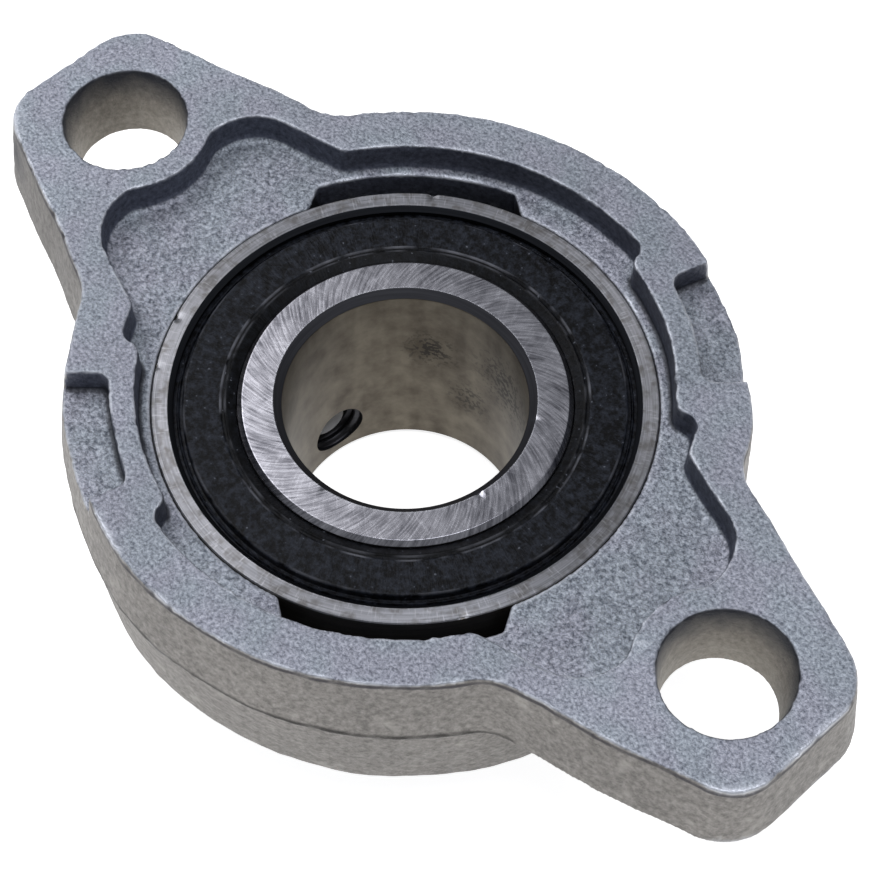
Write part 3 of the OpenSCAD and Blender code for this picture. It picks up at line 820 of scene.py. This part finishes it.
# Seals: moulded rubber with a raised face, a gutter round it and a lip on the inner ring
seal = {
    "middle": -6.7,
    "face": 4.4,
    "seat": 3.35,
    "edge": 14.43,
    "gutter": 3.8,
    "ridgeRadius": 13.775,
    "ridge": 0.2,
    "raised": 13.5,
    "lip": 10.25,
    "lipWidth": 0.65,
    "lipDrop": 0.3,
    "lipThickness": 0.2,
    "coreIn": 10.98,
    "coreOut": 13.67,
    "coreTop": 3.67,
    "segments": 400,
}


def makeSeal(name, back, material):
    c = seal
    lipBottom = c["face"] - c["lipDrop"] - c["lipThickness"]
    lipOut, ridge, half = c["lip"] + c["lipWidth"], c["ridgeRadius"], c["ridge"] / 2
    corners = [
        (c["lip"] + lipBottom - c["seat"], c["seat"], 0.04, 0),
        (c["coreIn"], c["seat"], 0.03, 0), (c["coreIn"], c["coreTop"], 0.03, 0),
        (c["coreOut"], c["coreTop"], 0.03, 0), (c["coreOut"], c["seat"], 0.03, 0),
        (c["edge"], c["seat"], 0.06, 0), (c["edge"], c["gutter"], 0.05, 0),
        (ridge + half, c["gutter"], 0.03, 0), (ridge, c["gutter"] + c["ridge"], 0.03, 0),
        (ridge - half, c["gutter"], 0.02, 0),
        (c["raised"], c["gutter"], 0.03, 0), (c["raised"], c["face"], 0.16, 0),
        # a shallow groove between the raised face and the lip
        (lipOut + 0.30, c["face"], 0.10, 0), (lipOut + 0.22, c["face"] - 0.06, 0.03, 0),
        (lipOut + 0.10, c["face"] - 0.06, 0.03, 0), (lipOut, c["face"], 0.04, 0),
        (lipOut - 0.12, c["face"] - 0.02, 0.05, 0),
        (c["lip"], c["face"] - c["lipDrop"], 0.05, 0), (c["lip"], lipBottom, 0.05, 0),
    ]
    outline, zones = roundedOutline(corners)
    if not back:
        outline, zones = [(r, -z) for r, z in reversed(outline)], list(reversed(zones))
    mesh = turn(name, outline, zones, c["middle"], c["segments"])
    return addPiece(f"{name}_moulded", mesh, [material], "insert", [name])


def roundCoordinates(add, place, radius):
    # a place turned into (round, round, out): the same all along a radius, seamless round the axis
    split = add("SeparateXYZ", {0: place})
    flat = add("CombineXYZ", {0: split.outputs[0], 1: split.outputs[1]})
    out = add("VectorMath", {"operation": "LENGTH", 0: flat})
    way = add("VectorMath", {"operation": "NORMALIZE", 0: flat})
    ring = add("VectorMath", {"operation": "SCALE", "Scale": radius, 0: way})
    return ring, out, split.outputs[2]


def groundFace():
    # Bearing steel, ground flat and then honed on a turning spindle: the fine lines run round the face, so
    # its shine spreads out from the axis and lights two opposite sides, and short radial scratches cross
    # them. The lines, some hundredths of a mm apart, are drawn 0.09 mm apart, or they wouldn't show.
    material, add, shader, place = startMaterial("ground bearing steel", Metallic=1.0, Roughness=0.36,
                                                 Anisotropic=0.75, Anisotropic_Rotation=0.25)
    ring, out, _ = roundCoordinates(add, place, 15)
    lines = add("CombineXYZ", {2: out})
    noises = []
    for along, across in ((9, 0.09), (0.13, 0.9), (1.0, 0.8)):  # lines, scratches and blotches, sizes in mm
        turned = add("VectorMath", {"operation": "SCALE", "Scale": 1 / along, 0: ring})
        raised = add("VectorMath", {"operation": "SCALE", "Scale": 1 / across, 0: lines})
        where = add("VectorMath", {"operation": "ADD", 0: turned, 1: raised})
        noises.append(add("TexNoise", {"Scale": 1, "Roughness": 0.7, "Vector": where}))
    marks, scratches, blotches = noises
    sectors = add("TexNoise", {"Scale": 1 / 7, "Detail": 1.0, "Vector": ring})
    spread = add("MapRange", {"From Min": 0.3, "From Max": 0.7, "Value": marks})
    tone = add("Mix", {"data_type": "RGBA", 6: "#747578", 7: "#9f9fa2", 0: spread})
    blotch = add("MapRange", {"From Min": 0.46, "From Max": 0.66, "To Max": 0.7, "Value": blotches})
    colour = add("Mix", {"data_type": "RGBA", 7: "#605d59", 0: blotch, 6: tone})
    glint = add("MapRange", {"From Min": 0.56, "From Max": 0.80, "To Max": 0.5, "Value": scratches})
    colour = add("Mix", {"data_type": "RGBA", 7: "#c9c9cc", 0: glint, 6: colour})
    drift = add("MapRange", {"From Min": 0.3, "From Max": 0.7, "To Min": 0.86, "To Max": 1.10,
                             "Value": sectors})
    colour = add("VectorMath", {"operation": "SCALE", 0: colour, "Scale": drift})
    bump = add("Bump", {"Distance": 0.004 * mm, "Height": marks})
    sweep = add("Tangent", {"direction_type": "RADIAL", "axis": "Z"})
    feed(shader, {"Base Color": colour, "Normal": bump, "Tangent": sweep})
    return material


def crossGroundFace():
    # Bearing steel face ground with a cup wheel: short curved scratches that lean one way, a few crossing
    # them the other way, and a polished line with a painted highlight where the face meets the bore's
    # chamfer. The scratches, finer than 0.05 mm, are drawn 0.17 and 0.22 mm wide, or they wouldn't show.
    material, add, shader, place = startMaterial("cup-ground bearing steel", Metallic=1.0, Roughness=0.24)
    ring, out, _ = roundCoordinates(add, place, 9)
    total = None
    # lean in radians per mm, width and length in mm, the noise's range that shows, its weight and its place
    for lean, width, length, low, high, weight, seed in (
            (0.085, 0.17, 1.3, 0.32, 0.68, 0.68, 0), (-0.06, 0.22, 1.1, 0.52, 0.78, 0.26, 7),
            (0.02, 1.6, 1.6, 0.36, 0.64, 0.30, 13)):
        angle = add("Math", {"operation": "MULTIPLY", 1: lean, 0: out})
        swung = add("VectorRotate", {"rotation_type": "Z_AXIS", "Vector": ring, "Angle": angle})
        where = add("VectorMath", {"operation": "SCALE", "Scale": 1 / width, 0: swung})
        where = add("VectorMath", {"operation": "ADD", 1: (seed, seed, seed), 0: where})
        lift = add("Math", {"operation": "MULTIPLY", 1: 1 / length, 0: out})
        drop = add("CombineXYZ", {2: lift})
        where = add("VectorMath", {"operation": "ADD", 0: where, 1: drop})
        noise = add("TexNoise", {"Scale": 1, "Detail": 3.0, "Roughness": 0.6, "Distortion": 0.3,
                                 "Vector": where})
        part = add("MapRange", {"From Min": low, "From Max": high, "To Max": weight, "Value": noise})
        total = part if total is None else add("Math", {"operation": "ADD", 0: total, 1: part})
    tone = add("Mix", {"data_type": "RGBA", 6: "#525258", 7: "#bfbec3", 0: total})
    # painted highlight on the polished line where the face meets the bore's chamfer
    edge = add("MapRange", {"From Min": 8.01, "From Max": 8.12, "To Min": 1.0, "To Max": 0.0, "Value": out})
    edge = add("Math", {"operation": "MULTIPLY", 0: edge, 1: total})
    colour = add("Mix", {"data_type": "RGBA", 7: "#c6c6cb", 0: edge, 6: tone})
    bump = add("Bump", {"Distance": 0.002 * mm, "Height": total})
    feed(shader, {"Base Color": colour, "Normal": bump})
    return material


def honedBore():
    # Bearing steel bore, honed: warm grey with soft bands along the shaft, a brownish bloom, and dark rust
    # spots in four places
    material, add, shader, place = startMaterial("honed bearing steel with rust spots", Roughness=0.42,
                                                 Specular_IOR_Level=0.1)
    ring, _, height = roundCoordinates(add, place, 7.5)
    low = add("Math", {"operation": "MULTIPLY", 1: 1 / 14, 0: height})
    rise = add("CombineXYZ", {2: low})
    stripe = add("VectorMath", {"operation": "SCALE", "Scale": 1 / 1.4, 0: ring})
    where = add("VectorMath", {"operation": "ADD", 0: stripe, 1: rise})
    bands = add("TexNoise", {"Scale": 1, "Vector": where})
    bloom = add("TexNoise", {"Scale": 1 / 1.8, "Detail": 4.0, "Roughness": 0.6, "Vector": place})
    both = add("Math", {"operation": "MULTIPLY_ADD", 1: 0.5, 0: bands, 2: bloom})
    spread = add("MapRange", {"From Min": 0.55, "From Max": 0.95, "Value": both})
    colour = add("Mix", {"data_type": "RGBA", 6: "#4a4237", 7: "#70695c", 0: spread})
    spots = add("TexNoise", {"Scale": 1 / 0.34, "Roughness": 0.6, "Vector": place})
    metal = None
    # centre of each rusty place, its reach in mm and how thick the spots are there
    for (x, y, z), reach, amount in (((1.6, 7.3, -7.6), 4.6, 0.17), ((-4.3, 6.2, -8.2), 3.0, 0.15),
                                     ((-1.8, 7.3, -12.5), 3.0, 0.12), ((6.0, 4.5, -9.0), 8.0, 0.13)):
        away = add("VectorMath", {"operation": "DISTANCE", 1: (x, y, z), 0: place})
        close = add("MapRange", {"From Min": reach * 0.15, "From Max": reach, "To Min": amount,
                                 "To Max": 0.0, "Value": away})
        stain = add("MapRange", {"From Min": 0.02, "From Max": 0.2, "To Max": 0.6, "Value": close})
        colour = add("Mix", {"data_type": "RGBA", 7: "#352d1c", 0: stain, 6: colour})
        grown = add("Math", {"operation": "ADD", 0: spots, 1: close})
        rust = add("MapRange", {"From Min": 0.62, "From Max": 0.68, "To Max": 1.8, "Value": grown})
        rust = add("Math", {"operation": "MULTIPLY", 0: rust, 1: stain})
        colour = add("Mix", {"data_type": "RGBA", 7: "#1f160c", 0: rust, 6: colour})
        clean = add("MapRange", {"To Min": 0.8, "To Max": 0.0, "Value": rust})
        metal = clean if metal is None else add("Math", {"operation": "MINIMUM", 0: metal, 1: clean})
    bump = add("Bump", {"Strength": 0.6, "Distance": 0.01 * mm, "Height": bands})
    feed(shader, {"Base Color": colour, "Metallic": metal, "Normal": bump})
    return material


def turnedSteel(name, dark, light, roughness):
    # Steel as it left the lathe or grinder: fine lines round the axis, drawn 0.12 mm apart so that they show
    material, add, shader, place = startMaterial(name, Metallic=1.0, Roughness=roughness)
    ring, out, height = roundCoordinates(add, place, 12)
    fine = add("CombineXYZ", {1: out, 2: height})
    fine = add("VectorMath", {"operation": "SCALE", "Scale": 1 / 0.12, 0: fine})
    slow = add("VectorMath", {"operation": "SCALE", "Scale": 1 / 5, 0: ring})
    where = add("VectorMath", {"operation": "ADD", 0: fine, 1: slow})
    lines = add("TexNoise", {"Scale": 1, "Vector": where})
    tone = add("Mix", {"data_type": "RGBA", 6: dark, 7: light, 0: lines})
    bump = add("Bump", {"Distance": 0.004 * mm, "Height": lines})
    feed(shader, {"Base Color": tone, "Normal": bump})
    return material


def mouldedRubber():
    # Nitrile rubber moulded in a turned tool: near black with a soft sheen, fine radial grain drawn 0.16 mm
    # wide so that it shows, dusty specks, painted shade round the lip, and painted highlights along the
    # moulded edges
    material, add, shader, place = startMaterial("moulded nitrile rubber", Metallic=0.0, Roughness=0.42,
                                                 Specular_IOR_Level=0.12)
    ring, out, _ = roundCoordinates(add, place, 12)
    fine = add("VectorMath", {"operation": "SCALE", "Scale": 1 / 0.16, 0: ring})
    slow = add("Math", {"operation": "MULTIPLY", 1: 1 / 0.8, 0: out})
    drop = add("CombineXYZ", {2: slow})
    where = add("VectorMath", {"operation": "ADD", 0: fine, 1: drop})
    grain = add("TexNoise", {"Scale": 1, "Roughness": 0.7, "Vector": where})
    mottle = add("TexNoise", {"Scale": 1 / 0.5, "Detail": 4.0, "Roughness": 0.8, "Vector": place})
    patches = add("TexNoise", {"Scale": 1 / 2.2, "Vector": place})
    dust = add("TexNoise", {"Scale": 1 / 0.25, "Detail": 1.0, "Vector": place})
    spread = add("MapRange", {"From Min": 0.42, "From Max": 0.64, "Value": mottle})
    tone = add("Mix", {"data_type": "RGBA", 6: "#020203", 7: "#262930", 0: spread})
    specks = add("MapRange", {"From Min": 0.74, "From Max": 0.80, "To Max": 0.6, "Value": dust})
    # painted shade over the lip and its groove, inside the raised face
    lip = add("MapRange", {"From Min": 11.10, "From Max": 11.22, "To Min": 0.3, "To Max": 1.0, "Value": out})
    tone = add("VectorMath", {"operation": "SCALE", 0: tone, "Scale": lip})
    colour = add("Mix", {"data_type": "RGBA", 7: "#6d7077", 0: specks, 6: tone})
    # painted highlights along the moulded edges, broken up by the patches
    highlightBreaks = add("MapRange", {"From Min": 0.46, "From Max": 0.62, "Value": patches})
    for edge, strength in ((11.19, 0.85), (10.92, 0.4), (13.42, 0.35)):
        away = add("Math", {"operation": "SUBTRACT", 1: edge, 0: out})
        away = add("Math", {"operation": "ABSOLUTE", 0: away})
        drawn = add("MapRange", {"From Min": 0.03, "From Max": 0.10, "To Min": strength, "To Max": 0.0,
                                 "Value": away})
        drawn = add("Math", {"operation": "MULTIPLY", 0: drawn, 1: highlightBreaks})
        colour = add("Mix", {"data_type": "RGBA", 7: "#66676c", 0: drawn, 6: colour})
    relief = add("Math", {"operation": "ADD", 0: grain, 1: mottle})
    bump = add("Bump", {"Distance": 0.03 * mm, "Height": relief})
    feed(shader, {"Base Color": colour, "Normal": bump})
    return material


def plainMetal(name, dark, light, size, metallic, roughness, relief):
    # Metal with an even, fine mottle of the given size in mm
    material, add, shader, place = startMaterial(name, Metallic=metallic, Roughness=roughness)
    mottle = add("TexNoise", {"Scale": 1 / size, "Detail": 3.0, "Vector": place})
    tone = add("Mix", {"data_type": "RGBA", 6: dark, 7: light, 0: mottle})
    bump = add("Bump", {"Distance": relief * mm, "Height": mottle})
    feed(shader, {"Base Color": tone, "Normal": bump})
    return material


sphereSteel = turnedSteel("ground sphere of bearing steel", "#6f6a62", "#a39d94", 0.34)
# the ring's inside, dark as painted shade in the gap beside the seal
insideSteel = turnedSteel("inside of bearing steel in painted shade", "#1f2023", "#36383c", 0.45)
collarSteel = turnedSteel("turned collar of bearing steel", "#808185", "#b4b5b9", 0.36)
# heat-treatment scale, which grinding didn't reach, on the chamfers; in the tapped holes the same dark steel
# is painted shade
scaleSteel = turnedSteel("unground chamfer with black scale", "#3a3a3d", "#5b5b5f", 0.5)
makeOuterRing(groundFace(), sphereSteel, insideSteel)
makeInnerRing(crossGroundFace(), honedBore(), collarSteel, scaleSteel)
print("rings made")

rubber = mouldedRubber()
makeSeal("seal_back", True, rubber)
makeSeal("seal_front", False, rubber)
print("seals made")

# Black oxide: steel turned blue-black in a hot salt bath, a little shiny where it was turned, and kept
# darker as painted shade deep in the holes
blackOxide = plainMetal("black oxide on alloy steel", "#0b0b0d", "#17181c", 0.25, 0.9, 0.42, 0.006)
for index, direction in enumerate(innerRing["holeDirections"], 1):
    makeSetScrew(index, direction, blackOxide)
print("set screws made")

# What the seals hide keeps its CAD shape: lapped balls, pressed cage, plain steel washers
ballSteel = plainMetal("lapped ball steel", "#c5c6c8", "#d2d3d5", 1.2, 1.0, 0.07, 0.0005)
cageSteel = plainMetal("pressed low-carbon steel", "#74767a", "#8d8f93", 0.6, 1.0, 0.35, 0.004)
coreSteel = plainMetal("blanked steel strip", "#7f8184", "#9b9da0", 0.8, 1.0, 0.4, 0.003)
for name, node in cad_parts.items():
    for part, material in (("ball_", ballSteel), ("cage_", cageSteel), ("seal_core", coreSteel)):
        if name.startswith(part):
            node.data.materials.clear()
            node.data.materials.append(material)
print("hidden parts finished")
